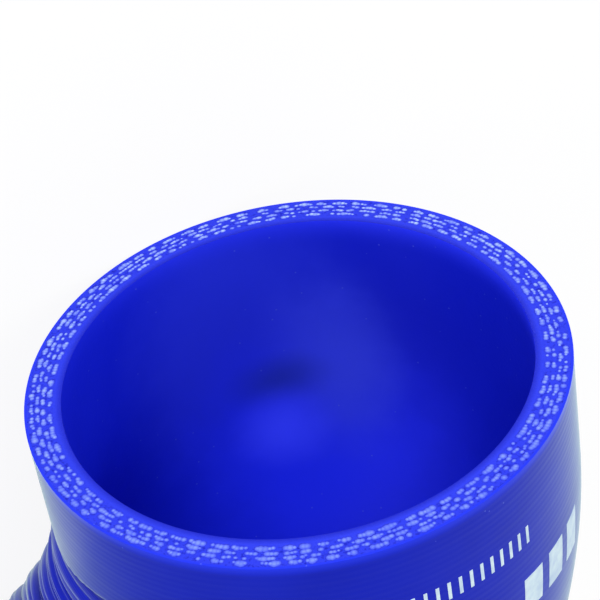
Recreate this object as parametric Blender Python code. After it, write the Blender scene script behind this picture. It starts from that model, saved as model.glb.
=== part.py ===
"""Throttle body hose: a moulded silicone elbow with straight cuffs and a pleated inner bend.

Metres, +Z up. The elbow lies on its side, with its bend plane level. One cut end faces -Y and
the other faces +X. The base plane is Z = 0, and the origin is under the middle of the box.
"""

import math

import bmesh
import bpy

# Driving dimensions
bore_radius = 0.0350
wall_thickness = 0.0055
bend_radius = 0.0560
bend_angle = math.radians(90.0)
cuff_length = 0.0190

# Pleats on the inside of the bend
pleat_count = 10
pleat_height = 0.0011
minor_pleat_share = 0.55
pleat_half_width = math.radians(88.0)
pleat_reach_into_cuff = 0.0035

# Mesh steps
steps_around = 60
steps_per_pleat = 6
bore_steps_in_bend = 20

# Sizes that follow from the driving ones
outer_radius = bore_radius + wall_thickness
bend_length = bend_radius * bend_angle
path_length = cuff_length + bend_length + cuff_length
path_middle = path_length / 2.0
centre_to_end = bend_radius + cuff_length
half_box = (centre_to_end + outer_radius) / 2.0
first_axis_x = outer_radius - half_box
first_face_y = -half_box


def clear_scene():
    for item in list(bpy.data.objects):
        bpy.data.objects.remove(item, do_unlink=True)


def path_point(station):
    """Return the centre line's point and its sideways direction, which points into the bend."""
    turn = (station - cuff_length) / bend_radius
    turn = min(max(turn, 0.0), bend_angle)
    before = min(station, cuff_length)
    after = max(station - cuff_length - bend_length, 0.0)
    x = first_axis_x + bend_radius * (1.0 - math.cos(turn)) + after * math.sin(turn)
    y = first_face_y + before + bend_radius * math.sin(turn) + after * math.cos(turn)
    inward = (math.cos(turn), -math.sin(turn))
    return x, y, inward


def skin_point(station, around, radius):
    """Return a point on the tube's skin. around is 0 on the inside of the bend."""
    x, y, inward = path_point(station)
    sideways = radius * math.cos(around)
    height = outer_radius + radius * math.sin(around)
    return (x + inward[0] * sideways, y + inward[1] * sideways, height)


def inside_share(around):
    """Return 1 on the inside of the bend, falling to 0 at the top and bottom of the tube."""
    offset = math.atan2(math.sin(around), math.cos(around))
    if abs(offset) >= pleat_half_width:
        return 0.0
    return math.cos(0.5 * math.pi * offset / pleat_half_width) ** 2


def pleat_station(share, around):
    """Return where a pleat line lies. The band of pleats reaches into both cuffs."""
    reach = pleat_reach_into_cuff * inside_share(around)
    return path_middle + (share - 0.5) * (bend_length + 2.0 * reach)


def pleat_rise(share, around):
    """Return how far the skin stands proud. High and low pleats take turns."""
    place = share * pleat_count
    number = min(int(place), pleat_count - 1)
    size = 1.0 if number % 2 == 0 else minor_pleat_share
    ridge = 0.5 - 0.5 * math.cos(2.0 * math.pi * place)
    return pleat_height * size * ridge * inside_share(around)


def around_angles():
    return [2.0 * math.pi * step / steps_around for step in range(steps_around)]


def outer_rings():
    rings = []
    rings.append([skin_point(0.0, angle, outer_radius) for angle in around_angles()])
    ring_count = pleat_count * steps_per_pleat
    for step in range(ring_count + 1):
        share = step / ring_count
        ring = []
        for angle in around_angles():
            radius = outer_radius + pleat_rise(share, angle)
            ring.append(skin_point(pleat_station(share, angle), angle, radius))
        rings.append(ring)
    rings.append([skin_point(path_length, angle, outer_radius) for angle in around_angles()])
    return rings


def bore_rings():
    stations = [0.0]
    for step in range(bore_steps_in_bend + 1):
        stations.append(cuff_length + bend_length * step / bore_steps_in_bend)
    stations.append(path_length)
    rings = []
    for station in stations:
        rings.append([skin_point(station, angle, bore_radius) for angle in around_angles()])
    return rings


def add_rings(mesh, rings):
    return [[mesh.verts.new(point) for point in ring] for ring in rings]


def join_rings(mesh, first, second, smooth):
    """Fill the strip between two rings of the same length, shaded smooth or flat."""
    count = len(first)
    for index in range(count):
        after = (index + 1) % count
        face = mesh.faces.new((first[index], first[after], second[after], second[index]))
        face.smooth = smooth


def make_hose():
    mesh = bmesh.new()
    outer = add_rings(mesh, outer_rings())
    bore = add_rings(mesh, bore_rings())
    for first, second in zip(outer, outer[1:]):
        join_rings(mesh, first, second, smooth=True)
    for first, second in zip(bore, bore[1:]):
        join_rings(mesh, second, first, smooth=True)
    # The two cut faces close the wall between the bore and the outer skin, with sharp rims.
    join_rings(mesh, bore[0], outer[0], smooth=False)
    join_rings(mesh, outer[-1], bore[-1], smooth=False)
    for edge in mesh.edges:
        shades = {face.smooth for face in edge.link_faces}
        edge.smooth = len(shades) == 1
    bmesh.ops.triangulate(mesh, faces=mesh.faces[:], quad_method="SHORT_EDGE")
    bmesh.ops.recalc_face_normals(mesh, faces=mesh.faces[:])
    if mesh.calc_volume(signed=True) < 0.0:
        bmesh.ops.reverse_faces(mesh, faces=mesh.faces[:])

    data = bpy.data.meshes.new("hose_body")
    mesh.to_mesh(data)
    mesh.free()
    hose = bpy.data.objects.new("hose_body", data)
    bpy.context.scene.collection.objects.link(hose)
    return hose


def blue_silicone():
    material = bpy.data.materials.new("blue_silicone")
    material.use_nodes = True
    shader = material.node_tree.nodes["Principled BSDF"]
    shader.inputs["Base Color"].default_value = (0.012, 0.022, 0.60, 1.0)
    shader.inputs["Roughness"].default_value = 0.42
    material.diffuse_color = (0.012, 0.022, 0.60, 1.0)
    return material


clear_scene()
hose_body = make_hose()
hose_body.data.materials.append(blue_silicone())
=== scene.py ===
# %% [markdown]
# A throttle body hose is a short elbow of blue silicone rubber. Layers of woven cloth are wrapped
# round a bent steel core, rubber is worked into them, and the whole roll is squeezed under a tape
# and baked. Then both ends are sawn square. This lesson dresses the elbow's solid frame with a
# skin, pleats, sawn yarn ends and a printed scale, each made by a rule.

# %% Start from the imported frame
import math

import bpy
from mathutils import Matrix, Vector


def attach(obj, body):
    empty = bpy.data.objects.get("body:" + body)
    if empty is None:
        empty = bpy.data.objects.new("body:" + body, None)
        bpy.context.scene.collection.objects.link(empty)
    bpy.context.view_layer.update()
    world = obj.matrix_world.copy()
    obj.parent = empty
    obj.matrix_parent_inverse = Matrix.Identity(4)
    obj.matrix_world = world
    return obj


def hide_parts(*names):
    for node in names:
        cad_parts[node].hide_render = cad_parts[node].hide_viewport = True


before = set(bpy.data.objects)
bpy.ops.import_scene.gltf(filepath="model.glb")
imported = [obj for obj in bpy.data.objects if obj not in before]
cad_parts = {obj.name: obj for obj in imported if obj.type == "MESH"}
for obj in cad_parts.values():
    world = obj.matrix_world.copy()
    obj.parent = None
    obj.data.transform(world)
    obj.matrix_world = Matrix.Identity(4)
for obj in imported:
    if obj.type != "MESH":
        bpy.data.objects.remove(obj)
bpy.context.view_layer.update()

# %% [markdown]
# The sizes come first, because everything else follows them. A photograph gives no scale, so the
# bore is a usual one of 70 mm. The wall is 5.5 mm, and the bend is tight enough to make the cloth
# pucker on its inside.

# %% Sizes of the hose
millimetre = 0.001
bore_radius = 35.0 * millimetre
wall_thickness = 5.5 * millimetre
bend_radius = 56.0 * millimetre
bend_angle = math.radians(90.0)
cuff_length = 19.0 * millimetre

outer_radius = bore_radius + wall_thickness
bend_length = bend_radius * bend_angle
path_length = cuff_length + bend_length + cuff_length
centre_to_end = bend_radius + cuff_length
half_box = (centre_to_end + outer_radius) / 2.0
first_axis_x = outer_radius - half_box
first_face_y = -half_box
second_face_x = half_box
second_axis_y = first_face_y + centre_to_end
print("centre line", round(path_length / millimetre, 1), "mm long")

# %% [markdown]
# The camera is set before the surfaces, so that each one can be judged in the photograph's view.
# A circle seen at a slant is an ellipse. The ellipse of the rim gives the distance and the tilt of
# the hose's axis. The outlines below the rim give the side to which the hose bends, but only
# loosely, because the picture ends before the bend does. Seen from the camera, x runs right, y
# down and z away.

# %% The camera at the photograph's angle
rim_centre_seen = Vector((-0.014, 0.243, 8.0)) * outer_radius
axis_seen = Vector((0.13, 0.77, 0.63)).normalized()
left_seen = Vector((-0.986, 0.166, 0.0))
left_seen = (left_seen - axis_seen * left_seen.dot(axis_seen)).normalized()
front_seen = left_seen.cross(axis_seen)
bend_turn = math.radians(26.0)
bend_seen = left_seen * math.cos(bend_turn) + front_seen * math.sin(bend_turn)
lift_seen = bend_seen.cross(axis_seen)
to_world = Matrix((bend_seen, axis_seen, lift_seen))

focal_pixels = 2208.0
image_width = 600.0
sensor_width = 36.0
rim_centre = Vector((first_axis_x, first_face_y, outer_radius))

camera_data = bpy.data.cameras.new("camera")
camera_data.sensor_width = sensor_width
camera_data.lens = focal_pixels / image_width * sensor_width
camera_data.clip_start = 10.0 * millimetre
camera = bpy.data.objects.new("camera", camera_data)
bpy.context.scene.collection.objects.link(camera)

camera_right = to_world @ Vector((1.0, 0.0, 0.0))
camera_up = to_world @ Vector((0.0, -1.0, 0.0))
camera_back = to_world @ Vector((0.0, 0.0, -1.0))
camera_turn = Matrix((camera_right, camera_up, camera_back)).transposed()
camera_place = rim_centre - to_world @ rim_centre_seen
camera.matrix_world = Matrix.Translation(camera_place) @ camera_turn.to_4x4()
bpy.context.scene.camera = camera
print("camera at", [round(value, 3) for value in camera_place])

# %% [markdown]
# The shapes are grown by Geometry Nodes. A node tree is only arithmetic on every point at once, so
# a few small helpers are enough to write one as if it were a formula: one adds a step, one feeds a
# value or a wire to a socket, and one makes an input with a name.

# %% Helpers that write node trees
def feed(tree, socket, value):
    """Wire a socket to another, or give it a plain value."""
    if isinstance(value, bpy.types.NodeSocket):
        tree.links.new(value, socket)
    else:
        socket.default_value = value


def step(tree, kind, settings=None, **inputs):
    """Add a node. An input is named as in the tree, with _ for a space."""
    made = tree.nodes.new(kind)
    for name, value in (settings or {}).items():
        setattr(made, name, value)
    for name, value in inputs.items():
        feed(tree, made.inputs[name.replace("_", " ")], value)
    return made


def calc(tree, operation, *values):
    """Add a sum of one, two or three numbers, and return its result."""
    made = tree.nodes.new("ShaderNodeMath")
    made.operation = operation
    for socket, value in zip(made.inputs, values):
        feed(tree, socket, value)
    return made.outputs[0]


def vector_calc(tree, operation, *values):
    """Add a sum of one or two vectors, and return its result."""
    made = step(tree, "ShaderNodeVectorMath", {"operation": operation})
    for socket, value in zip(made.inputs, values):
        feed(tree, socket, value)
    return made.outputs["Value" if operation == "LENGTH" else "Vector"]


def share_of(tree, value, low, high):
    """Return 0 below low, 1 above high, and the share between them."""
    made = step(tree, "ShaderNodeMapRange", Value=value, From_Min=low, From_Max=high)
    return made.outputs["Result"]


def new_tree(name, kind, inputs, outputs):
    """Start a node group with named sockets. Each input is a name, a type and a start value."""
    tree = bpy.data.node_groups.new(name, kind)
    for socket_name, socket_type, value in inputs:
        socket = tree.interface.new_socket(socket_name, in_out="INPUT", socket_type=socket_type)
        if value is not None:
            socket.default_value = value
    for socket_name, socket_type in outputs:
        tree.interface.new_socket(socket_name, in_out="OUTPUT", socket_type=socket_type)
    inside = tree.nodes.new("NodeGroupInput").outputs
    outside = tree.nodes.new("NodeGroupOutput").inputs
    return tree, inside, outside


FLOAT = "NodeSocketFloat"
COUNT = "NodeSocketInt"
VECTOR = "NodeSocketVector"
SHAPE = "NodeSocketGeometry"
FINISH = "NodeSocketMaterial"


def grow(name, tree, values):
    """Run a tree by itself, and keep its result as a plain mesh object."""
    seed = bpy.data.objects.new(name + "_seed", bpy.data.meshes.new(name + "_seed"))
    bpy.context.scene.collection.objects.link(seed)
    modifier = seed.modifiers.new("grow", "NODES")
    modifier.node_group = tree
    for item in tree.interface.items_tree:
        if item.in_out == "INPUT" and item.name in values:
            modifier[item.identifier] = values[item.name]
    graph = bpy.context.evaluated_depsgraph_get()
    mesh = bpy.data.meshes.new_from_object(
        seed.evaluated_get(graph), preserve_all_data_layers=True, depsgraph=graph)
    mesh.name = name
    seed.modifiers.remove(modifier)
    bpy.data.objects.remove(seed)
    piece = bpy.data.objects.new(name, mesh)
    bpy.context.scene.collection.objects.link(piece)
    mesh.calc_loop_triangles()
    print(name, "has", len(mesh.loop_triangles), "triangles")
    return piece


print("node helpers:", [helper.__name__ for helper in (feed, step, calc, share_of, grow)])


# %% [markdown]
# Every surface of an elbow can be named by three numbers: how far along the centre line it is, how
# far round the tube, and how far out. One group turns those three into a place. Round starts at
# the inside of the bend, so that what happens there is symmetrical about zero.

# %% The group that places a point on the elbow
elbow_place, given, result = new_tree(
    "Elbow place", "GeometryNodeTree",
    [("Along", FLOAT, 0.0), ("Round", FLOAT, 0.0), ("Radius", FLOAT, outer_radius),
     ("Bend Radius", FLOAT, bend_radius), ("Bend Angle", FLOAT, bend_angle),
     ("Cuff Length", FLOAT, cuff_length), ("First Axis X", FLOAT, first_axis_x),
     ("First Face Y", FLOAT, first_face_y), ("Axis Height", FLOAT, outer_radius)],
    [("Position", VECTOR)])

arc_length = calc(elbow_place, "MULTIPLY", given["Bend Radius"], given["Bend Angle"])
past_cuff = calc(elbow_place, "SUBTRACT", given["Along"], given["Cuff Length"])
free_turn = calc(elbow_place, "DIVIDE", past_cuff, given["Bend Radius"])
held_turn = calc(elbow_place, "MAXIMUM", free_turn, 0.0)
turn = calc(elbow_place, "MINIMUM", held_turn, given["Bend Angle"])
before = calc(elbow_place, "MINIMUM", given["Along"], given["Cuff Length"])
past_bend = calc(elbow_place, "SUBTRACT", past_cuff, arc_length)
after = calc(elbow_place, "MAXIMUM", past_bend, 0.0)
cos_turn = calc(elbow_place, "COSINE", turn)
sin_turn = calc(elbow_place, "SINE", turn)

versine = calc(elbow_place, "SUBTRACT", 1.0, cos_turn)
centre_x = calc(elbow_place, "MULTIPLY_ADD", given["Bend Radius"], versine, given["First Axis X"])
centre_x = calc(elbow_place, "MULTIPLY_ADD", after, sin_turn, centre_x)
centre_y = calc(elbow_place, "ADD", given["First Face Y"], before)
centre_y = calc(elbow_place, "MULTIPLY_ADD", given["Bend Radius"], sin_turn, centre_y)
centre_y = calc(elbow_place, "MULTIPLY_ADD", after, cos_turn, centre_y)

cos_round = calc(elbow_place, "COSINE", given["Round"])
sin_round = calc(elbow_place, "SINE", given["Round"])
sideways = calc(elbow_place, "MULTIPLY", given["Radius"], cos_round)
upwards = calc(elbow_place, "MULTIPLY", given["Radius"], sin_round)
point_x = calc(elbow_place, "MULTIPLY_ADD", sideways, cos_turn, centre_x)
backwards = calc(elbow_place, "MULTIPLY", sideways, sin_turn)
point_y = calc(elbow_place, "SUBTRACT", centre_y, backwards)
point_z = calc(elbow_place, "ADD", given["Axis Height"], upwards)
point = step(elbow_place, "ShaderNodeCombineXYZ", X=point_x, Y=point_y, Z=point_z)
feed(elbow_place, result["Position"], point.outputs[0])
print("elbow place has", len(elbow_place.nodes), "steps")

# %% [markdown]
# On the inside of a tight bend the cloth has more length than it needs, and the tape gathers the
# spare into pleats. They fan out from the corner and die away towards the top and bottom of the
# tube. The cuff ends in a crisp lip over the first and widest pleat, and narrower ones follow, up
# to the middle of the bend. From there the same order runs back to the other cuff. A pleat is a
# slow slope, a rounded crest and a quick drop into a sharp crease. Noise keeps any two from being
# alike.

# %% The sizes of the pleats
pleat_depth = 1.35 * millimetre
crease_share = 0.78
wide_pleat = 22.5 * millimetre
pleat_pitch = 9.8 * millimetre
lip_width = 0.9 * millimetre
pleat_half_width = math.radians(88.0)
reach_starts = math.radians(-14.0)
reach_ends = math.radians(19.0)
longest_reach = 3.0 * millimetre

pleat_rise, given, result = new_tree(
    "Pleat rise", "GeometryNodeTree",
    [("Along", FLOAT, 0.0), ("Round", FLOAT, 0.0), ("Depth", FLOAT, pleat_depth),
     ("Crease Share", FLOAT, crease_share), ("Wide Pleat", FLOAT, wide_pleat),
     ("Pitch", FLOAT, pleat_pitch), ("Lip Width", FLOAT, lip_width),
     ("Half Width", FLOAT, pleat_half_width), ("Reach Starts", FLOAT, reach_starts),
     ("Reach Ends", FLOAT, reach_ends), ("Longest Reach", FLOAT, longest_reach),
     ("Path Middle", FLOAT, path_length / 2.0), ("Bend Length", FLOAT, bend_length),
     ("Seed", FLOAT, 4.0)],
    [("Rise", FLOAT)])
print("pleats", round(pleat_depth / millimetre, 2), "mm deep")

# %% Where a point lies among the pleats
# The sway is noise, given as its swings in a metre along and in a radian round. Near the lip there
# is none.
fade_power = 1.5
sway_along = 45.0
sway_round = 1.3
sway_free = 12.0 * millimetre

off_inside = calc(pleat_rise, "ABSOLUTE", given["Round"])
width_share = calc(pleat_rise, "DIVIDE", off_inside, given["Half Width"])
width_share = calc(pleat_rise, "MINIMUM", width_share, 1.0)
fall = calc(pleat_rise, "COSINE", calc(pleat_rise, "MULTIPLY", width_share, math.pi / 2.0))
inside = calc(pleat_rise, "POWER", fall, fade_power)

lean = step(
    pleat_rise, "ShaderNodeMapRange", {"interpolation_type": "SMOOTHSTEP"}, Value=given["Round"],
    From_Min=given["Reach Starts"], From_Max=given["Reach Ends"], To_Max=given["Longest Reach"])
reach = calc(pleat_rise, "MULTIPLY", lean.outputs["Result"], inside)
half_band = calc(pleat_rise, "MULTIPLY_ADD", given["Bend Length"], 0.5, reach)
from_middle = calc(pleat_rise, "SUBTRACT", given["Along"], given["Path Middle"])
from_lip = calc(pleat_rise, "SUBTRACT", half_band, calc(pleat_rise, "ABSOLUTE", from_middle))

sway_place = step(
    pleat_rise, "ShaderNodeCombineXYZ",
    X=calc(pleat_rise, "MULTIPLY", given["Along"], sway_along),
    Y=calc(pleat_rise, "MULTIPLY", given["Round"], sway_round), Z=given["Seed"])
sway = step(pleat_rise, "ShaderNodeTexNoise", Vector=sway_place.outputs[0], Scale=1.0, Detail=1.0)
sway_ease = share_of(pleat_rise, from_lip, 0.0, sway_free)
sway = calc(pleat_rise, "SUBTRACT", sway.outputs["Fac"], 0.5)
sway = calc(pleat_rise, "MULTIPLY", sway, sway_ease)
swayed = calc(pleat_rise, "MULTIPLY_ADD", sway, given["Pitch"], from_lip)

wide_place = calc(pleat_rise, "DIVIDE", swayed, given["Wide Pleat"])
past_wide = calc(pleat_rise, "SUBTRACT", swayed, given["Wide Pleat"])
later_place = calc(pleat_rise, "ADD", calc(pleat_rise, "DIVIDE", past_wide, given["Pitch"]), 1.0)
is_later = calc(pleat_rise, "GREATER_THAN", past_wide, 0.0)
pleat_place = step(pleat_rise, "ShaderNodeMix", {"data_type": "FLOAT"})
feed(pleat_rise, pleat_place.inputs["Factor"], is_later)
feed(pleat_rise, pleat_place.inputs[2], wide_place)
feed(pleat_rise, pleat_place.inputs[3], later_place)
pleat_place = calc(pleat_rise, "MAXIMUM", pleat_place.outputs[0], 0.0)
print("pleat places have", len(pleat_rise.nodes), "steps")

# %% The height across a pleat
pleat_skew = 1.6
pleat_sharpness = 0.85
largest_size = 0.80
size_spread = 0.25
first_size = 0.85
fine_per_pleat = 3.0
fine_skew = 1.3
fine_sharpness = 0.7
fine_height = 0.24


def crest_of(tree, place, skew, sharpness):
    """Return the height across a pleat: slow up, quick down, and sharp creases between."""
    across = calc(tree, "POWER", calc(tree, "FRACT", place), skew)
    bow = calc(tree, "SINE", calc(tree, "MULTIPLY", across, math.pi))
    return calc(tree, "POWER", calc(tree, "MAXIMUM", bow, 0.0), sharpness)


crest = crest_of(pleat_rise, pleat_place, pleat_skew, pleat_sharpness)
pleat_number = calc(pleat_rise, "FLOOR", pleat_place)
is_first = calc(pleat_rise, "LESS_THAN", pleat_number, 0.5)
far_half = calc(pleat_rise, "GREATER_THAN", from_middle, 0.0)
number_place = step(
    pleat_rise, "ShaderNodeCombineXYZ", X=pleat_number, Y=given["Seed"], Z=far_half)
own_size = step(pleat_rise, "ShaderNodeTexWhiteNoise", Vector=number_place.outputs[0])
size = calc(pleat_rise, "MULTIPLY_ADD", own_size.outputs["Value"], -size_spread, largest_size)
size = calc(pleat_rise, "MAXIMUM", size, calc(pleat_rise, "MULTIPLY", is_first, first_size))
fine_place = calc(pleat_rise, "MULTIPLY", pleat_place, fine_per_pleat)
fine_crest = crest_of(pleat_rise, fine_place, fine_skew, fine_sharpness)
fine_crest = calc(pleat_rise, "MULTIPLY", fine_crest, fine_height)
height = calc(pleat_rise, "MULTIPLY_ADD", crest, size, fine_crest)
height = calc(pleat_rise, "SUBTRACT", height, given["Crease Share"])

lip = share_of(pleat_rise, from_lip, 0.0, given["Lip Width"])
height = calc(pleat_rise, "MULTIPLY", calc(pleat_rise, "MULTIPLY", height, lip), inside)
feed(pleat_rise, result["Rise"], calc(pleat_rise, "MULTIPLY", height, given["Depth"]))
print("pleat rule has", len(pleat_rise.nodes), "steps")

# %% [markdown]
# The hose itself is one closed skin. A flat grid is walked along the outside, in over the far cut
# face, back through the bore and out over the near cut face, and its other direction runs round
# the tube. Joining the grid's edges closes it like a ring. This keeps the wall, the bore and both
# sawn faces in one mesh, as they are in one moulding.

# %% The tree that grows the hose
skin_steps = 300
cut_steps = 14
bore_steps = 64
round_steps = 192

hose_tree, given, result = new_tree(
    "Moulded elbow", "GeometryNodeTree",
    [("Outer Radius", FLOAT, outer_radius), ("Wall", FLOAT, wall_thickness),
     ("Path Length", FLOAT, path_length), ("Skin Steps", COUNT, skin_steps),
     ("Cut Steps", COUNT, cut_steps), ("Bore Steps", COUNT, bore_steps),
     ("Round Steps", COUNT, round_steps),
     ("Skin Finish", FINISH, None), ("Cut Finish", FINISH, None), ("Bore Finish", FINISH, None)],
    [("Geometry", SHAPE)])

far_cut_end = calc(hose_tree, "ADD", given["Skin Steps"], given["Cut Steps"])
bore_end = calc(hose_tree, "ADD", far_cut_end, given["Bore Steps"])
all_steps = calc(hose_tree, "ADD", bore_end, given["Cut Steps"])
grid = step(
    hose_tree, "GeometryNodeMeshGrid", Size_X=1.0, Size_Y=1.0,
    Vertices_X=calc(hose_tree, "ADD", all_steps, 1.0),
    Vertices_Y=calc(hose_tree, "ADD", given["Round Steps"], 1.0))
print("grid of", skin_steps + 2 * cut_steps + bore_steps, "by", round_steps)

# %% Where each point of the grid goes
rim_share = 0.001

flat_place = step(
    hose_tree, "ShaderNodeSeparateXYZ",
    Vector=hose_tree.nodes.new("GeometryNodeInputPosition").outputs[0])
walked = calc(hose_tree, "ADD", flat_place.outputs["X"], 0.5)
walked = calc(hose_tree, "MULTIPLY", walked, all_steps)
walked = calc(hose_tree, "ROUND", walked)
round_place = calc(hose_tree, "MULTIPLY", flat_place.outputs["Y"], 2.0 * math.pi)

out_share = share_of(hose_tree, walked, 0.0, given["Skin Steps"])
back_share = share_of(hose_tree, walked, far_cut_end, bore_end)
along_share = calc(hose_tree, "SUBTRACT", out_share, back_share)
along = calc(hose_tree, "MULTIPLY", along_share, given["Path Length"])
far_cut_share = share_of(hose_tree, walked, given["Skin Steps"], far_cut_end)
near_cut_share = share_of(hose_tree, walked, bore_end, all_steps)
wall_share = calc(hose_tree, "SUBTRACT", far_cut_share, near_cut_share)

pleats = step(hose_tree, "GeometryNodeGroup", {"node_tree": pleat_rise})
feed(hose_tree, pleats.inputs["Along"], along)
feed(hose_tree, pleats.inputs["Round"], round_place)
on_skin = calc(hose_tree, "LESS_THAN", wall_share, rim_share)
rise = calc(hose_tree, "MULTIPLY", pleats.outputs["Rise"], on_skin)
radius = calc(hose_tree, "MULTIPLY", wall_share, given["Wall"])
radius = calc(hose_tree, "SUBTRACT", given["Outer Radius"], radius)
radius = calc(hose_tree, "ADD", radius, rise)

place = step(hose_tree, "GeometryNodeGroup", {"node_tree": elbow_place})
feed(hose_tree, place.inputs["Along"], along)
feed(hose_tree, place.inputs["Round"], round_place)
feed(hose_tree, place.inputs["Radius"], radius)
print("walk has", len(hose_tree.nodes), "steps")

# %% Numbers that the finishes read
join_distance = 0.001 * millimetre


def keep_number(tree, geometry, name, value):
    """Store a number on every point, for the materials to read."""
    made = step(tree, "GeometryNodeStoreNamedAttribute", {"data_type": "FLOAT", "domain": "POINT"})
    feed(tree, made.inputs["Geometry"], geometry)
    feed(tree, made.inputs["Name"], name)
    feed(tree, made.inputs["Value"], value)
    return made.outputs["Geometry"]


shaped = keep_number(hose_tree, grid.outputs["Mesh"], "along", along)
shaped = keep_number(hose_tree, shaped, "wall_share", wall_share)
shaped = keep_number(hose_tree, shaped, "rise", rise)
shaped = keep_number(hose_tree, shaped, "walked", walked)
# How far a point lies to the outside of the bend, where the bore's painted light is strongest.
inward_share = calc(hose_tree, "COSINE", round_place)
outer_side = calc(hose_tree, "MULTIPLY_ADD", inward_share, -0.5, 0.5)
shaped = keep_number(hose_tree, shaped, "outer_side", outer_side)
shaped = step(
    hose_tree, "GeometryNodeSetPosition", Geometry=shaped, Position=place.outputs["Position"])
shaped = step(
    hose_tree, "GeometryNodeMergeByDistance", Geometry=shaped.outputs[0], Distance=join_distance)
print("numbers are kept for the finishes, and the grid is closed")

# %% [markdown]
# The three finishes meet at the rims, so each face takes its material from how far along the walk
# it lies. The number was kept on the points before they moved. A face between two of them reads
# their mean, which is never on the line between two finishes.

# %% Finishes by stretch of the walk
before_start = -1.0
kept_walk = step(
    hose_tree, "GeometryNodeInputNamedAttribute", {"data_type": "FLOAT"}, Name="walked")
face_walk = kept_walk.outputs["Attribute"]


def finish_between(tree, geometry, finish, low, high):
    """Give a finish to the faces between two places on the walk."""
    above = calc(tree, "GREATER_THAN", face_walk, low)
    below = calc(tree, "LESS_THAN", face_walk, high)
    made = step(tree, "GeometryNodeSetMaterial", Geometry=geometry, Material=finish)
    feed(tree, made.inputs["Selection"], calc(tree, "MULTIPLY", above, below))
    return made.outputs["Geometry"]


solid = step(hose_tree, "GeometryNodeRealizeInstances", Geometry=shaped.outputs[0])
solid = step(
    hose_tree, "GeometryNodeSetMaterial", Geometry=solid.outputs[0], Material=given["Cut Finish"])
solid = finish_between(
    hose_tree, solid.outputs[0], given["Skin Finish"], before_start, given["Skin Steps"])
solid = finish_between(hose_tree, solid, given["Bore Finish"], far_cut_end, bore_end)
feed(hose_tree, result["Geometry"], solid)
print("hose tree has", len(hose_tree.nodes), "steps")

# %% [markdown]
# Now the finishes. Silicone is one blue all through, but each surface shows it differently. The
# effects are groups of their own, each a small recipe with named inputs: the cloudy mottle of
# mixed rubber, the fine grain that keeps it from looking like glass, the print of the tape, a soft
# spot with a ragged edge, and a few specks of dust. A group gives out only numbers, and the
# Principled shader that uses them stays in the material.

# %% Mottle
mottle, given, result = new_tree(
    "Mottle", "ShaderNodeTree",
    [("Place", VECTOR, None), ("Size", FLOAT, 10.0 * millimetre), ("Contrast", FLOAT, 1.0)],
    [("Mask", FLOAT)])
cloud = step(
    mottle, "ShaderNodeTexNoise", Vector=given["Place"],
    Scale=calc(mottle, "DIVIDE", 1.0, given["Size"]), Detail=3.0, Roughness=0.55)
spread = calc(mottle, "SUBTRACT", cloud.outputs["Fac"], 0.5)
spread = calc(mottle, "MULTIPLY_ADD", spread, given["Contrast"], 0.5)
feed(mottle, result["Mask"], step(mottle, "ShaderNodeClamp", Value=spread).outputs[0])
print("mottle has", len(mottle.nodes), "nodes")

# %% Fine grain
pits_per_speck = 0.35
pit_radius = 0.35

grain, given, result = new_tree(
    "Fine grain", "ShaderNodeTree",
    [("Place", VECTOR, None), ("Size", FLOAT, 0.4 * millimetre), ("Pits", FLOAT, 0.3)],
    [("Height", FLOAT)])
speck = step(
    grain, "ShaderNodeTexNoise", Vector=given["Place"],
    Scale=calc(grain, "DIVIDE", 1.0, given["Size"]), Detail=4.0, Roughness=0.6)
pit = step(
    grain, "ShaderNodeTexVoronoi", Vector=given["Place"],
    Scale=calc(grain, "DIVIDE", pits_per_speck, given["Size"]))
pit_depth = share_of(grain, pit.outputs["Distance"], 0.0, pit_radius)
pitted = calc(grain, "MULTIPLY", pit_depth, given["Pits"])
feed(grain, result["Height"], calc(grain, "ADD", speck.outputs["Fac"], pitted))
print("fine grain has", len(grain.nodes), "nodes")

# %% Tape print
drift_scale = 28.0
fade_scale = 60.0
slope_ends = 0.75
drop_starts = 0.80

tape_print, given, result = new_tree(
    "Tape print", "ShaderNodeTree",
    [("Along", FLOAT, 0.0), ("Place", VECTOR, None), ("Line Pitch", FLOAT, 1.1 * millimetre),
     ("Tape Width", FLOAT, 4.4 * millimetre), ("Sway", FLOAT, 0.6 * millimetre),
     ("Line Height", FLOAT, 0.30), ("Step Height", FLOAT, 0.35)],
    [("Height", FLOAT)])
drift = step(
    tape_print, "ShaderNodeTexNoise", Vector=given["Place"], Scale=drift_scale, Detail=1.0)
drift = calc(tape_print, "SUBTRACT", drift.outputs["Fac"], 0.5)
drifted = calc(tape_print, "MULTIPLY_ADD", drift, given["Sway"], given["Along"])
line_turn = calc(tape_print, "DIVIDE", drifted, given["Line Pitch"])
line_wave = calc(tape_print, "SINE", calc(tape_print, "MULTIPLY", line_turn, 2.0 * math.pi))
tape_turn = calc(tape_print, "FRACT", calc(tape_print, "DIVIDE", drifted, given["Tape Width"]))
tape_slope = share_of(tape_print, tape_turn, 0.0, slope_ends)
tape_drop = share_of(tape_print, tape_turn, 1.0, drop_starts)
tape_step = calc(tape_print, "MULTIPLY", tape_slope, tape_drop)
tape_step = calc(tape_print, "MULTIPLY", tape_step, given["Step Height"])
fade = step(
    tape_print, "ShaderNodeTexNoise", Vector=given["Place"], Scale=fade_scale, Detail=2.0)
faded = calc(tape_print, "MULTIPLY", line_wave, fade.outputs["Fac"])
print_height = calc(tape_print, "MULTIPLY_ADD", faded, given["Line Height"], tape_step)
feed(tape_print, result["Height"], print_height)
print("tape print has", len(tape_print.nodes), "nodes")

# %% Soft spot
rag_scale = 130.0

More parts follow.
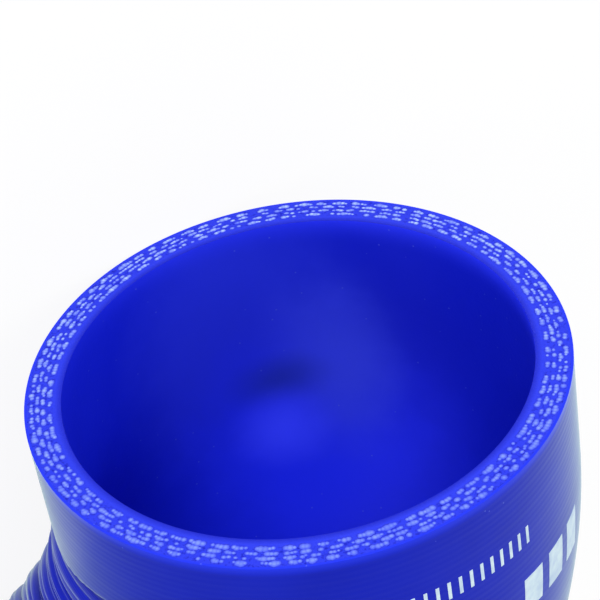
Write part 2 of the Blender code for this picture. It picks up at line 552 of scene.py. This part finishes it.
soft_spot, given, result = new_tree(
    "Soft spot", "ShaderNodeTree",
    [("Place", VECTOR, None), ("Centre", VECTOR, None), ("Reach", VECTOR, None),
     ("Core", FLOAT, 0.3), ("Raggedness", FLOAT, 0.3)],
    [("Mask", FLOAT)])
from_centre = vector_calc(soft_spot, "SUBTRACT", given["Place"], given["Centre"])
in_reaches = vector_calc(soft_spot, "DIVIDE", from_centre, given["Reach"])
span = vector_calc(soft_spot, "LENGTH", in_reaches)
rags = step(
    soft_spot, "ShaderNodeTexNoise", Vector=given["Place"], Scale=rag_scale, Detail=3.0)
rags = calc(soft_spot, "SUBTRACT", rags.outputs["Fac"], 0.5)
ragged = calc(soft_spot, "MULTIPLY_ADD", rags, given["Raggedness"], span)
fading = step(
    soft_spot, "ShaderNodeMapRange", {"interpolation_type": "SMOOTHSTEP"}, Value=ragged,
    From_Min=1.0, From_Max=given["Core"])
feed(soft_spot, result["Mask"], fading.outputs["Result"])
print("soft spot has", len(soft_spot.nodes), "nodes")

# %% Dust specks
even_core = 0.4

dust, given, result = new_tree(
    "Dust specks", "ShaderNodeTree",
    [("Place", VECTOR, None), ("Spacing", FLOAT, 3.0 * millimetre),
     ("Speck", FLOAT, 0.16 * millimetre)],
    [("Mask", FLOAT)])
cells = step(
    dust, "ShaderNodeTexVoronoi", Vector=given["Place"],
    Scale=calc(dust, "DIVIDE", 1.0, given["Spacing"]))
speck_edge = calc(dust, "DIVIDE", given["Speck"], given["Spacing"])
speck_core = calc(dust, "MULTIPLY", speck_edge, even_core)
feed(dust, result["Mask"], share_of(dust, cells.outputs["Distance"], speck_edge, speck_core))
print("shared effects:", [group.name for group in (mottle, grain, tape_print, soft_spot, dust)])

# %% [markdown]
# The materials are alike in their parts: a colour built up in layers, a gloss, and a slope from
# the grain. So each part is a short function. What the points kept is read back by name, and
# painted light can brighten a surface near the sawn ends, by how far it lies from the middle of the
# hose.

# %% Helpers that write materials
dust_pale = (0.16, 0.22, 0.62, 1.0)


def shader_effect(tree, group, **inputs):
    """Place a shared effect in a material, with its own values."""
    made = step(tree, "ShaderNodeGroup", {"node_tree": group})
    for name, value in inputs.items():
        feed(tree, made.inputs[name.replace("_", " ")], value)
    return made


def blend_colours(tree, share, first, second):
    """Mix two colours by a share."""
    made = step(tree, "ShaderNodeMix", {"data_type": "RGBA"})
    feed(tree, made.inputs["Factor"], share)
    for socket_index, value in ((6, first), (7, second)):
        feed(tree, made.inputs[socket_index], value)
    return made.outputs[2]


def rubber(name, roughness, specular):
    """Start a material, and return its tree, its shader and the object's own place."""
    material = bpy.data.materials.new(name)
    material.use_nodes = True
    tree = material.node_tree
    shader = tree.nodes["Principled BSDF"]
    shader.inputs["Roughness"].default_value = roughness
    shader.inputs["Specular IOR Level"].default_value = specular
    own_place = tree.nodes.new("ShaderNodeTexCoord").outputs["Object"]
    return material, tree, shader, own_place


def bump_up(tree, shader, height, distance):
    """Turn a height into a slope on the surface."""
    made = step(tree, "ShaderNodeBump", Height=height, Distance=distance)
    feed(tree, shader.inputs["Normal"], made.outputs["Normal"])


def kept_number(tree, name):
    """Read back a number that the points kept."""
    return step(tree, "ShaderNodeAttribute", {"attribute_name": name}).outputs["Fac"]


def near_ends(tree, along, depth):
    """Return 1 at a sawn end, falling to 0 at a depth inside it."""
    off_middle = calc(tree, "ABSOLUTE", calc(tree, "SUBTRACT", along, path_length / 2.0))
    return share_of(tree, off_middle, path_length / 2.0 - depth, path_length / 2.0)


def dust_over(tree, colour, own_place, spacing, speck, strength):
    """Lay a few pale specks of dust over a colour."""
    specks = shader_effect(tree, dust, Place=own_place, Spacing=spacing, Speck=speck)
    speck_share = calc(tree, "MULTIPLY", specks.outputs["Mask"], strength)
    return blend_colours(tree, speck_share, colour, dust_pale)


print("material helpers:", [helper.__name__ for helper in (rubber, bump_up, near_ends, dust_over)])

# %% [markdown]
# The outer skin took the print of the cloth tape it was baked in: fine lines round the tube, with
# a step at each overlap of the tape. Its blue is deep, with painted shade in the creases and a
# painted highlight in a thin band at the sawn edge, where the rim catches the light. It turns milky
# where it is seen at a slant, so the shader gets a little sheen besides its gloss. A few specks of
# dust lie on it.

# %% The outer skin
skin_blue = (0.004, 0.012, 0.43, 1.0)
skin_deep_blue = (0.003, 0.009, 0.36, 1.0)
crease_shade_blue = (0.003, 0.007, 0.26, 1.0)
edge_highlight_blue = (0.012, 0.029, 0.70, 1.0)
sheen_tint = (0.76, 1.0, 0.68, 1.0)
edge_highlight_width = 1.6 * millimetre
crease_shade_starts = -0.25 * millimetre
crease_shade_full = -0.95 * millimetre
grain_part = 0.25
moulded_bump = 0.03 * millimetre

skin_finish, tree, shader, own_place = rubber("blue_skin", roughness=0.36, specular=0.04)
shader.inputs["Sheen Weight"].default_value = 0.52
shader.inputs["Sheen Roughness"].default_value = 0.34
shader.inputs["Sheen Tint"].default_value = sheen_tint
along_kept = kept_number(tree, "along")
# Painted shade darkens the skin in the pleats' creases.
crease_shade_share = share_of(tree, kept_number(tree, "rise"), crease_shade_starts, crease_shade_full)
clouds = shader_effect(tree, mottle, Place=own_place, Size=12.0 * millimetre, Contrast=1.4)
skin_colour = blend_colours(tree, clouds.outputs["Mask"], skin_deep_blue, skin_blue)
skin_colour = blend_colours(tree, crease_shade_share, skin_colour, crease_shade_blue)
# A painted highlight brightens a thin band of skin at the sawn edge, where the rim catches the
# light.
edge_highlight_share = near_ends(tree, along_kept, edge_highlight_width)
skin_colour = blend_colours(tree, edge_highlight_share, skin_colour, edge_highlight_blue)
skin_colour = dust_over(
    tree, skin_colour, own_place, spacing=3.2 * millimetre, speck=0.15 * millimetre, strength=0.5)
feed(tree, shader.inputs["Base Color"], skin_colour)

prints = shader_effect(tree, tape_print, Along=along_kept, Place=own_place)
grains = shader_effect(tree, grain, Place=own_place, Size=0.5 * millimetre, Pits=0.1)
skin_height = calc(
    tree, "MULTIPLY_ADD", grains.outputs["Height"], grain_part, prints.outputs["Height"])
bump_up(tree, shader, skin_height, moulded_bump)
print("outer skin has", len(tree.nodes), "nodes")

# %% [markdown]
# The bore was moulded against the core, so it is smooth. Its far wall has two bright places with a
# dark smudge between them. The bright places are painted light: a pool of the light that falls in,
# with a painted highlight in the middle. What made the smudge isn't known, so it is only painted
# darker. They are painted as soft spots, each with a place of its own on the bore's wall and a
# reach in each direction. The mouth is painted brighter too, as light falls in there, most of all
# on the outer side of the bend.

# %% The bore's colours and soft spots
bore_blue = (0.006, 0.014, 0.56, 1.0)
bore_deep_blue = (0.004, 0.011, 0.51, 1.0)
mouth_light_blue = (0.024, 0.042, 0.96, 1.0)
mouth_light_depth = 5.0 * millimetre
# Each spot has a colour, a strength, its middle, its reach and the share of it that is even.
# The fourth spot is the dark smudge, and the other four are painted light.
bore_light_spots_and_smudge = (
    ((0.017, 0.030, 0.64, 1.0), 1.0, (-0.0240, -0.0370, 0.0062), (0.0270, 0.0380, 0.0220), 0.3),
    ((0.012, 0.024, 0.80, 1.0), 1.0, (-0.0330, -0.0075, 0.0150), (0.0340, 0.0380, 0.0380), 0.2),
    ((0.034, 0.054, 0.72, 1.0), 1.0, (-0.0380, -0.0290, 0.0130), (0.0170, 0.0250, 0.0140), 0.1),
    ((0.014, 0.026, 0.34, 1.0), 0.8, (-0.0292, -0.0264, 0.0080), (0.0125, 0.0072, 0.0100), 0.0),
    ((0.038, 0.058, 0.99, 1.0), 1.0, (-0.0280, -0.0166, 0.0088), (0.0112, 0.0100, 0.0112), 0.0))
print("bore has", len(bore_light_spots_and_smudge), "soft spots")

# %% The bore
bore_finish, tree, shader, own_place = rubber("blue_bore", roughness=0.42, specular=0.07)
clouds = shader_effect(tree, mottle, Place=own_place, Size=16.0 * millimetre, Contrast=1.3)
bore_colour = blend_colours(tree, clouds.outputs["Mask"], bore_deep_blue, bore_blue)
for spot_blue, strength, middle, spot_reach, core in bore_light_spots_and_smudge:
    spot = shader_effect(
        tree, soft_spot, Place=own_place, Centre=middle, Reach=spot_reach, Core=core)
    spot_share = calc(tree, "MULTIPLY", spot.outputs["Mask"], strength)
    bore_colour = blend_colours(tree, spot_share, bore_colour, spot_blue)

# Painted light brightens the mouth where light falls in, most on the outer side of the bend.
mouth_light_share = near_ends(tree, kept_number(tree, "along"), mouth_light_depth)
mouth_light_share = calc(tree, "POWER", mouth_light_share, 2.0)
mouth_light_share = calc(tree, "MULTIPLY", mouth_light_share, kept_number(tree, "outer_side"))
bore_colour = blend_colours(tree, mouth_light_share, bore_colour, mouth_light_blue)
bore_colour = dust_over(
    tree, bore_colour, own_place, spacing=2.7 * millimetre, speck=0.18 * millimetre,
    strength=0.35)
feed(tree, shader.inputs["Base Color"], bore_colour)
grains = shader_effect(tree, grain, Place=own_place, Size=0.9 * millimetre, Pits=0.0)
bump_up(tree, shader, grains.outputs["Height"], moulded_bump)
print("bore has", len(tree.nodes), "nodes")

# %% [markdown]
# The saw left the wall's section bare and matt. Its fresh rubber is a bright blue. Among the
# wrapped layers it has painted shade in places, in the gaps where the rubber lies deeper between
# the yarn ends. It is darker in the last of the wall too, next to the bore.

# %% The sawn faces
cut_blue = (0.017, 0.034, 0.66, 1.0)
cut_deep_blue = (0.003, 0.009, 0.42, 1.0)
layers_end = 0.80
layers_full = 0.70
bore_band_starts = 0.82
bore_band_shade = 0.9
yarn_gap_shade_starts = 0.55
sawn_bump = 0.08 * millimetre

cut_finish, tree, shader, own_place = rubber("blue_cut", roughness=0.62, specular=0.15)
share_kept = kept_number(tree, "wall_share")
clouds = shader_effect(tree, mottle, Place=own_place, Size=0.6 * millimetre, Contrast=2.6)
in_layers = share_of(tree, share_kept, layers_end, layers_full)
# Painted shade falls in cloudy places among the layers, in the gaps between the yarn ends.
shade_between_yarns = share_of(tree, clouds.outputs["Mask"], yarn_gap_shade_starts, 1.0)
painted_layer_shade = calc(tree, "MULTIPLY", in_layers, shade_between_yarns)
near_bore = share_of(tree, share_kept, bore_band_starts, 1.0)
near_bore = calc(tree, "MULTIPLY", near_bore, bore_band_shade)
cut_shade = calc(tree, "MAXIMUM", painted_layer_shade, near_bore)
feed(tree, shader.inputs["Base Color"],
     blend_colours(tree, cut_shade, cut_blue, cut_deep_blue))
grains = shader_effect(tree, grain, Place=own_place, Size=0.3 * millimetre, Pits=0.4)
bump_up(tree, shader, grains.outputs["Height"], sawn_bump)
print("sawn faces have", len(tree.nodes), "nodes")

# %% [markdown]
# With its three finishes made, the hose is grown. It is shaded smooth, except where the surface
# turns by more than the sharp angle, as it does at its rims.

# %% Grow the hose and put it in the frame
sharp_angle = math.radians(50.0)
hose = grow("hose", hose_tree, {
    "Skin Finish": skin_finish, "Cut Finish": cut_finish, "Bore Finish": bore_finish})
hose.data.shade_smooth()
hose.data.set_sharp_from_angle(angle=sharp_angle)
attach(hose, "root")
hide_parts("hose_body")

# %% [markdown]
# The saw also cut through the cloth. There are four plies in the wall, with a plain layer of
# rubber inside and outside them. A yarn that runs round the wall dives in and out of the weave, so
# a ply shows as a row of short pale dashes. Each dash is a string of cut fibre bundles, like
# beads. So a ring of points could carry the beads, and a wave that runs round the ring decides
# where there are any. Noise in the wave keeps any two dashes from being alike.

# %% Where one ply shows its dashes
slow_noise_size = 9.0 * millimetre
quick_noise_size = 2.4 * millimetre
lift_per_seed = 10.0 * millimetre

ply_row, given, result = new_tree(
    "Row of yarn ends", "GeometryNodeTree",
    [("Row Radius", FLOAT, 39.0 * millimetre), ("Bead Pitch", FLOAT, 0.56 * millimetre),
     ("Bead Width", FLOAT, 0.65 * millimetre), ("Proud", FLOAT, 0.12 * millimetre),
     ("Dashes", FLOAT, 80.0), ("Dash Share", FLOAT, 0.66), ("Phase", FLOAT, 0.0),
     ("Bend Of Weave", FLOAT, 8.0), ("Chance In Weave", FLOAT, 6.0),
     ("Weave Swing", FLOAT, 0.10 * millimetre), ("Missing", FLOAT, 0.07),
     ("Plump Side", FLOAT, math.radians(90.0)), ("Extra Plump", FLOAT, 0.32),
     ("End Shift", FLOAT, 0.0), ("Seed", COUNT, 1)],
    [("Geometry", SHAPE)])

way_round = calc(ply_row, "MULTIPLY", given["Row Radius"], 2.0 * math.pi)
bead_count = calc(ply_row, "ROUND", calc(ply_row, "DIVIDE", way_round, given["Bead Pitch"]))
ring = step(ply_row, "GeometryNodeMeshCircle", Vertices=bead_count, Radius=given["Row Radius"])
ring_place = ply_row.nodes.new("GeometryNodeInputPosition").outputs[0]
split_place = step(ply_row, "ShaderNodeSeparateXYZ", Vector=ring_place)
ring_angle = calc(ply_row, "ARCTAN2", split_place.outputs["Y"], split_place.outputs["X"])


def noise_on_ring(tree, lift, size):
    """Return noise round the ring, from -0.5 to 0.5. Another lift gives other noise."""
    lifted = step(tree, "ShaderNodeCombineXYZ", Z=lift)
    noise_place = vector_calc(tree, "ADD", ring_place, lifted.outputs[0])
    made = step(tree, "ShaderNodeTexNoise", Vector=noise_place, Scale=1.0 / size, Detail=1.0)
    return calc(tree, "SUBTRACT", made.outputs["Fac"], 0.5)


own_lift = calc(ply_row, "MULTIPLY", given["Seed"], lift_per_seed)
weave_turn = calc(ply_row, "MULTIPLY_ADD", ring_angle, given["Dashes"], given["Phase"])
slow_noise = noise_on_ring(ply_row, given["End Shift"], slow_noise_size)
weave_turn = calc(ply_row, "MULTIPLY_ADD", slow_noise, given["Bend Of Weave"], weave_turn)
quick_noise = noise_on_ring(ply_row, own_lift, quick_noise_size)
weave_turn = calc(ply_row, "MULTIPLY_ADD", quick_noise, given["Chance In Weave"], weave_turn)
weave = calc(ply_row, "SINE", weave_turn)
dash_edge = calc(ply_row, "COSINE", calc(ply_row, "MULTIPLY", given["Dash Share"], math.pi))
swell = share_of(ply_row, weave, dash_edge, 1.0)
print("weave rule has", len(ply_row.nodes), "steps")

# %% [markdown]
# A bead is widest in the middle of its dash, where the yarn comes nearest to the saw, and thins
# out towards the ends. Those on the upper side are plumper. Each bead keeps three numbers for the
# material: how near each of its points is to its core, a light of its own by chance, and how far
# it lies on the plump side.

# %% How the beads of one row vary
out_chance = 0.05 * millimetre
side_chance = 0.12 * millimetre
thin_size = 0.74
swell_gain = 0.42
smallest_chance = 0.72
largest_chance = 1.28
length_in_pitches = 1.8


def chance(tree, low, high, extra_seed):
    """Return a random number for each point. Each use has its own extra seed."""
    made = step(tree, "FunctionNodeRandomValue", {"data_type": "FLOAT"})
    feed(tree, made.inputs[2], low)
    feed(tree, made.inputs[3], high)
    feed(tree, made.inputs["Seed"], calc(tree, "ADD", given["Seed"], float(extra_seed)))
    return made.outputs[1]


outward = vector_calc(ply_row, "NORMALIZE", ring_place)
sideways = vector_calc(ply_row, "CROSS_PRODUCT", (0.0, 0.0, 1.0), outward)
own_shift = chance(ply_row, -out_chance, out_chance, 11)
out_shift = calc(ply_row, "MULTIPLY_ADD", weave, given["Weave Swing"], own_shift)
side_shift = chance(ply_row, -side_chance, side_chance, 23)
whole_shift = vector_calc(
    ply_row, "ADD", vector_calc(ply_row, "MULTIPLY", outward, out_shift),
    vector_calc(ply_row, "MULTIPLY", sideways, side_shift))
moved = step(ply_row, "GeometryNodeSetPosition", Geometry=ring.outputs["Mesh"], Offset=whole_shift)
points = step(ply_row, "GeometryNodeMeshToPoints", Mesh=moved.outputs[0])
own_light = chance(ply_row, 0.0, 1.0, 71)
points_kept = keep_number(ply_row, points.outputs[0], "bead_light", own_light)
off_plump = calc(ply_row, "SUBTRACT", ring_angle, given["Plump Side"])
plump_share = calc(ply_row, "MULTIPLY_ADD", calc(ply_row, "COSINE", off_plump), 0.5, 0.5)
points_kept = keep_number(ply_row, points_kept, "plump_share", plump_share)
print("places of the beads have", len(ply_row.nodes), "steps")

# %% The beads of one row
in_dash = calc(ply_row, "GREATER_THAN", weave, dash_edge)
not_missing = calc(ply_row, "GREATER_THAN", chance(ply_row, 0.0, 1.0, 37), given["Missing"])
stays = calc(ply_row, "MULTIPLY", in_dash, not_missing)
facing = step(ply_row, "FunctionNodeAlignRotationToVector", {"axis": "X"}, Vector=sideways)
own_size = chance(ply_row, smallest_chance, largest_chance, 53)
bead_size = calc(ply_row, "MULTIPLY_ADD", swell, swell_gain, thin_size)
bead_size = calc(ply_row, "MULTIPLY", bead_size, own_size)
plump = calc(ply_row, "MULTIPLY_ADD", plump_share, given["Extra Plump"], 1.0)
bead_length = calc(ply_row, "MULTIPLY", given["Bead Pitch"], length_in_pitches)
bead_length = calc(ply_row, "MULTIPLY", bead_length, bead_size)
bead_width = calc(ply_row, "MULTIPLY", given["Bead Width"], plump)
bead_width = calc(ply_row, "MULTIPLY", bead_width, bead_size)
bead_scale = step(ply_row, "ShaderNodeCombineXYZ", X=bead_length, Y=bead_width, Z=given["Proud"])

bead = step(ply_row, "GeometryNodeMeshUVSphere", Segments=8, Rings=4, Radius=0.5)
bead_place = vector_calc(ply_row, "MULTIPLY", ring_place, (1.0, 1.0, 0.0))
off_core = vector_calc(ply_row, "LENGTH", bead_place)
bead_core = calc(ply_row, "MULTIPLY_ADD", off_core, -2.0, 1.0)
bead_kept = keep_number(ply_row, bead.outputs["Mesh"], "bead_core", bead_core)
planted = step(
    ply_row, "GeometryNodeInstanceOnPoints", Points=points_kept, Selection=stays,
    Instance=bead_kept, Rotation=facing.outputs[0], Scale=bead_scale.outputs[0])
feed(ply_row, result["Geometry"], planted.outputs[0])
print("row of yarn ends has", len(ply_row.nodes), "steps")

# %% [markdown]
# One tree gathers the four rows, once for each sawn face, and stands them up on the faces. The
# outer and the inner ply are of a thicker yarn than the two between them.

# %% The tree that gathers the rows on both sawn faces
# Each row has its depth as a share of the wall, its number of dashes, and its beads' width.
plies = (
    (0.20, 78.0, 0.78 * millimetre),
    (0.36, 98.0, 0.64 * millimetre),
    (0.52, 94.0, 0.64 * millimetre),
    (0.69, 80.0, 0.76 * millimetre))
phase_step = 2.1
end_shift_step = 0.1
seeds_per_end = 100.0
seeds_per_row = 7.0
upper_sides = (math.radians(60.0), math.radians(150.0))

yarn_tree, given, result = new_tree(
    "Yarn ends", "GeometryNodeTree",
    [("Outer Radius", FLOAT, outer_radius), ("Wall", FLOAT, wall_thickness),
     ("First Seed", COUNT, 4), ("Finish", FINISH, None)],
    [("Geometry", SHAPE)])

first_rows = yarn_tree.nodes.new("GeometryNodeJoinGeometry")
second_rows = yarn_tree.nodes.new("GeometryNodeJoinGeometry")
for end_number, rows in enumerate((first_rows, second_rows)):
    for row_number, (row_share, dashes, width) in enumerate(plies):
        depth = calc(yarn_tree, "MULTIPLY", given["Wall"], row_share)
        extra_seed = seeds_per_end * end_number + seeds_per_row * row_number
        own_seed = calc(yarn_tree, "ADD", given["First Seed"], extra_seed)
        row = step(
            yarn_tree, "GeometryNodeGroup", {"node_tree": ply_row}, Dashes=dashes,
            Row_Radius=calc(yarn_tree, "SUBTRACT", given["Outer Radius"], depth),
            Bead_Width=width, Phase=phase_step * row_number,
            End_Shift=end_shift_step * end_number,
            Plump_Side=upper_sides[end_number], Seed=own_seed)
        feed(yarn_tree, rows.inputs["Geometry"], row.outputs["Geometry"])

quarter_turn = math.radians(90.0)
first_ends = step(
    yarn_tree, "GeometryNodeTransform", Geometry=first_rows.outputs[0],
    Translation=(first_axis_x, first_face_y, outer_radius), Rotation=(quarter_turn, 0.0, 0.0))
second_ends = step(
    yarn_tree, "GeometryNodeTransform", Geometry=second_rows.outputs[0],
    Translation=(second_face_x, second_axis_y, outer_radius), Rotation=(0.0, quarter_turn, 0.0))
both_ends = yarn_tree.nodes.new("GeometryNodeJoinGeometry")
feed(yarn_tree, both_ends.inputs["Geometry"], first_ends.outputs[0])
feed(yarn_tree, both_ends.inputs["Geometry"], second_ends.outputs[0])
loose = step(yarn_tree, "GeometryNodeRealizeInstances", Geometry=both_ends.outputs[0])
smooth = step(yarn_tree, "GeometryNodeSetShadeSmooth", Geometry=loose.outputs[0])
dressed = step(
    yarn_tree, "GeometryNodeSetMaterial", Geometry=smooth.outputs[0], Material=given["Finish"])
feed(yarn_tree, result["Geometry"], dressed.outputs[0])
print("rows of yarn ends:", 2 * len(plies))

# %% [markdown]
# A yarn end is a pale fibre soaked in blue rubber, so it is a light blue, and duller than the
# rubber round it. How pale it is comes from a fine mottle and from the bead's own light. On the
# plump side it is soaked more, and each bead fades into the rubber at its edge.

# %% The yarn ends
yarn_pale = (0.41, 0.55, 0.95, 1.0)
yarn_blue = (0.12, 0.18, 0.80, 1.0)
yarn_soaked = (0.095, 0.150, 0.80, 1.0)
mottle_part = 0.65
own_light_part = 0.75
most_soaked = 0.75
soaking_starts = 0.1
soaking_full = 0.8
bare_core = 0.8
yarn_bump = 0.04 * millimetre

yarn_finish, tree, shader, own_place = rubber("soaked_yarn", roughness=0.7, specular=0.25)
clouds = shader_effect(tree, mottle, Place=own_place, Size=1.1 * millimetre, Contrast=2.6)
own_pale = calc(tree, "POWER", kept_number(tree, "bead_light"), 2.0)
own_pale = calc(tree, "MULTIPLY", own_pale, own_light_part)
pale_share = calc(tree, "MULTIPLY_ADD", clouds.outputs["Mask"], mottle_part, own_pale)
pale_share = calc(tree, "MINIMUM", pale_share, 1.0)
yarn_colour = blend_colours(tree, pale_share, yarn_blue, yarn_pale)
well_soaked = share_of(
    tree, kept_number(tree, "plump_share"), soaking_starts, soaking_full)
well_soaked = calc(tree, "MULTIPLY", well_soaked, most_soaked)
yarn_colour = blend_colours(tree, well_soaked, yarn_colour, yarn_soaked)
bare_share = share_of(tree, kept_number(tree, "bead_core"), 0.0, bare_core)
feed(tree, shader.inputs["Base Color"], blend_colours(tree, bare_share, cut_blue, yarn_colour))
grains = shader_effect(tree, grain, Place=own_place, Size=0.2 * millimetre, Pits=0.2)
bump_up(tree, shader, grains.outputs["Height"], yarn_bump)

yarn_ends = grow("yarn_ends", yarn_tree, {"Finish": yarn_finish})
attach(yarn_ends, "root")

# %% [markdown]
# A hose often carries a printed scale, so that its two ends can be lined up when it is fitted. It
# is laid out flat, as it would be on a stencil, with round as one direction and along as the
# other. Then the group that places points wraps it on the skin. The marks are plain strokes and
# bars, and a little thick, as screen ink is.

# %% The tree that prints the scale
stroke_length = 3.2 * millimetre
stroke_width = 0.55 * millimetre
bar_length = 5.2 * millimetre
bar_width = 4.4 * millimetre
ink_thickness = 0.10 * millimetre
points_across = 7
stroke_rounds = (math.radians(66.0), math.radians(108.0))
bar_rounds = (math.radians(109.0), math.radians(127.0))

scale_tree, given, result = new_tree(
    "Printed scale", "GeometryNodeTree",
    [("Outer Radius", FLOAT, outer_radius), ("Strokes", COUNT, 17), ("Bars", COUNT, 3),
     ("Stroke Length", FLOAT, stroke_length), ("Stroke Width", FLOAT, stroke_width),
     ("Bar Length", FLOAT, bar_length), ("Ink", FLOAT, ink_thickness),
     ("Stroke Along", FLOAT, 12.5 * millimetre), ("Bar Along", FLOAT, 23.0 * millimetre),
     ("Finish", FINISH, None)],
    [("Geometry", SHAPE)])


def flat_row(tree, count, length, width, along_place, rounds):
    """Lay out a row of equal marks on the flat stencil, from the first round to the last."""
    first_spot = step(tree, "ShaderNodeCombineXYZ", X=rounds[0], Y=along_place)
    last_spot = step(tree, "ShaderNodeCombineXYZ", X=rounds[1], Y=along_place)
    line = step(
        tree, "GeometryNodeMeshLine", {"mode": "END_POINTS"}, Count=count,
        Start_Location=first_spot.outputs[0], Offset=last_spot.outputs[0])
    size = step(
        tree, "ShaderNodeCombineXYZ", X=calc(tree, "DIVIDE", width, given["Outer Radius"]),
        Y=length, Z=given["Ink"])
    mark = step(
        tree, "GeometryNodeMeshCube", Size=size.outputs[0], Vertices_X=points_across,
        Vertices_Y=points_across, Vertices_Z=2)
    marks = step(
        tree, "GeometryNodeInstanceOnPoints", Points=line.outputs[0], Instance=mark.outputs[0])
    return marks.outputs[0]


stroke_row = flat_row(
    scale_tree, given["Strokes"], given["Stroke Length"], given["Stroke Width"],
    given["Stroke Along"], stroke_rounds)
bar_row = flat_row(
    scale_tree, given["Bars"], given["Bar Length"], bar_width, given["Bar Along"], bar_rounds)
stencil = scale_tree.nodes.new("GeometryNodeJoinGeometry")
feed(scale_tree, stencil.inputs["Geometry"], stroke_row)
feed(scale_tree, stencil.inputs["Geometry"], bar_row)
stencil = step(scale_tree, "GeometryNodeRealizeInstances", Geometry=stencil.outputs[0])

flat_place = step(
    scale_tree, "ShaderNodeSeparateXYZ",
    Vector=scale_tree.nodes.new("GeometryNodeInputPosition").outputs[0])
wrapped = step(scale_tree, "GeometryNodeGroup", {"node_tree": elbow_place})
feed(scale_tree, wrapped.inputs["Round"], flat_place.outputs["X"])
feed(scale_tree, wrapped.inputs["Along"], flat_place.outputs["Y"])
ink_top = calc(scale_tree, "ADD", given["Outer Radius"], flat_place.outputs["Z"])
feed(scale_tree, wrapped.inputs["Radius"], ink_top)
wrapped = step(
    scale_tree, "GeometryNodeSetPosition", Geometry=stencil.outputs[0],
    Position=wrapped.outputs["Position"])
turned_out = step(scale_tree, "GeometryNodeFlipFaces", Mesh=wrapped.outputs[0])
dressed = step(
    scale_tree, "GeometryNodeSetMaterial", Geometry=turned_out.outputs[0], Material=given["Finish"])
feed(scale_tree, result["Geometry"], dressed.outputs[0])
print("printed scale has", len(scale_tree.nodes), "steps")

# %% The printed scale
ink_white = (0.62, 0.76, 0.78, 1.0)
ink_thin = (0.35, 0.47, 0.66, 1.0)
ink_finish, tree, shader, own_place = rubber("pale_ink", roughness=0.55, specular=0.4)
clouds = shader_effect(tree, mottle, Place=own_place, Size=2.0 * millimetre, Contrast=1.6)
feed(tree, shader.inputs["Base Color"],
     blend_colours(tree, clouds.outputs["Mask"], ink_thin, ink_white))
scale_marks = grow("scale_marks", scale_tree, {"Finish": ink_finish})
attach(scale_marks, "root")

# %% [markdown]
# The light is soft and comes from all round, as in a white tent. The world gives a plain level,
# and large lamps in front and above shape the tube. The camera and mirror-like paths see the
# world as white, and the light that it gives is three fifths of that.

# %% World
def seen_share(tree):
    """Return 1 for the camera and for mirror-like and clear paths, and 0 for other light."""
    paths = tree.nodes.new("ShaderNodeLightPath").outputs
    seen = calc(tree, "MAXIMUM", paths["Is Camera Ray"], paths["Is Glossy Ray"])
    return calc(tree, "MAXIMUM", seen, paths["Is Transmission Ray"])


scene = bpy.context.scene
scene.view_settings.view_transform = "Standard"
plain_white = (1.0, 1.0, 1.0, 1.0)
tent_level = 0.60

world = bpy.data.worlds.new("white_tent")
world.use_nodes = True
scene.world = world
tree = world.node_tree
sky = tree.nodes["Background"]
sky_strength = calc(tree, "MULTIPLY_ADD", seen_share(tree), 1.0 - tent_level, tent_level)
feed(tree, sky.inputs["Color"], plain_white)
feed(tree, sky.inputs["Strength"], sky_strength)
print("tent gives", tent_level, "of the white that is seen")

# %% Lamps
def soft_lamp(name, place, aim, size, power):
    """Hang a square soft lamp that points at a place."""
    data = bpy.data.lights.new(name, "AREA")
    data.shape = "SQUARE"
    data.size = size
    data.energy = power
    lamp = bpy.data.objects.new(name, data)
    lamp.location = place
    lamp.rotation_euler = (Vector(aim) - Vector(place)).to_track_quat("-Z", "Y").to_euler()
    scene.collection.objects.link(lamp)


hose_middle = (0.0, 0.0, outer_radius)
soft_lamp("front_lamp", (0.22, -0.72, 0.56), hose_middle, size=0.35, power=4.6)
soft_lamp("right_lamp", (0.85, -0.10, 0.45), hose_middle, size=0.6, power=1.4)
soft_lamp("left_lamp", (-0.85, -0.35, 0.35), hose_middle, size=0.6, power=3.4)
soft_lamp("top_lamp", (-0.30, 0.30, 0.80), hose_middle, size=0.7, power=0.9)
print("lamps", [lamp.name for lamp in bpy.data.lights])

# %% [markdown]
# The floor is a plain white sheet. It is big enough for every view. To the camera it glows a
# little short of fully, so it keeps the soft shadow under the hose.

# %% Floor
floor_half = 3.0
floor_white = (0.90, 0.90, 0.90, 1.0)
floor_glow = 0.89
floor_mesh = bpy.data.meshes.new("floor")
floor_corners = [(-floor_half, -floor_half, 0.0), (floor_half, -floor_half, 0.0),
                 (floor_half, floor_half, 0.0), (-floor_half, floor_half, 0.0)]
floor_mesh.from_pydata(floor_corners, [], [(0, 1, 2, 3)])
floor = bpy.data.objects.new("floor", floor_mesh)
scene.collection.objects.link(floor)

floor_finish = bpy.data.materials.new("white_floor")
floor_finish.use_nodes = True
tree = floor_finish.node_tree
shader = tree.nodes["Principled BSDF"]
shader.inputs["Base Color"].default_value = floor_white
shader.inputs["Roughness"].default_value = 0.8
glow = tree.nodes.new("ShaderNodeEmission")
glow.inputs["Color"].default_value = plain_white
both = tree.nodes.new("ShaderNodeMixShader")
feed(tree, both.inputs["Fac"], calc(tree, "MULTIPLY", seen_share(tree), floor_glow))
feed(tree, both.inputs[1], shader.outputs[0])
feed(tree, both.inputs[2], glow.outputs[0])
feed(tree, tree.nodes["Material Output"].inputs["Surface"], both.outputs[0])
floor_mesh.materials.append(floor_finish)
print("floor is", 2.0 * floor_half, "m wide")
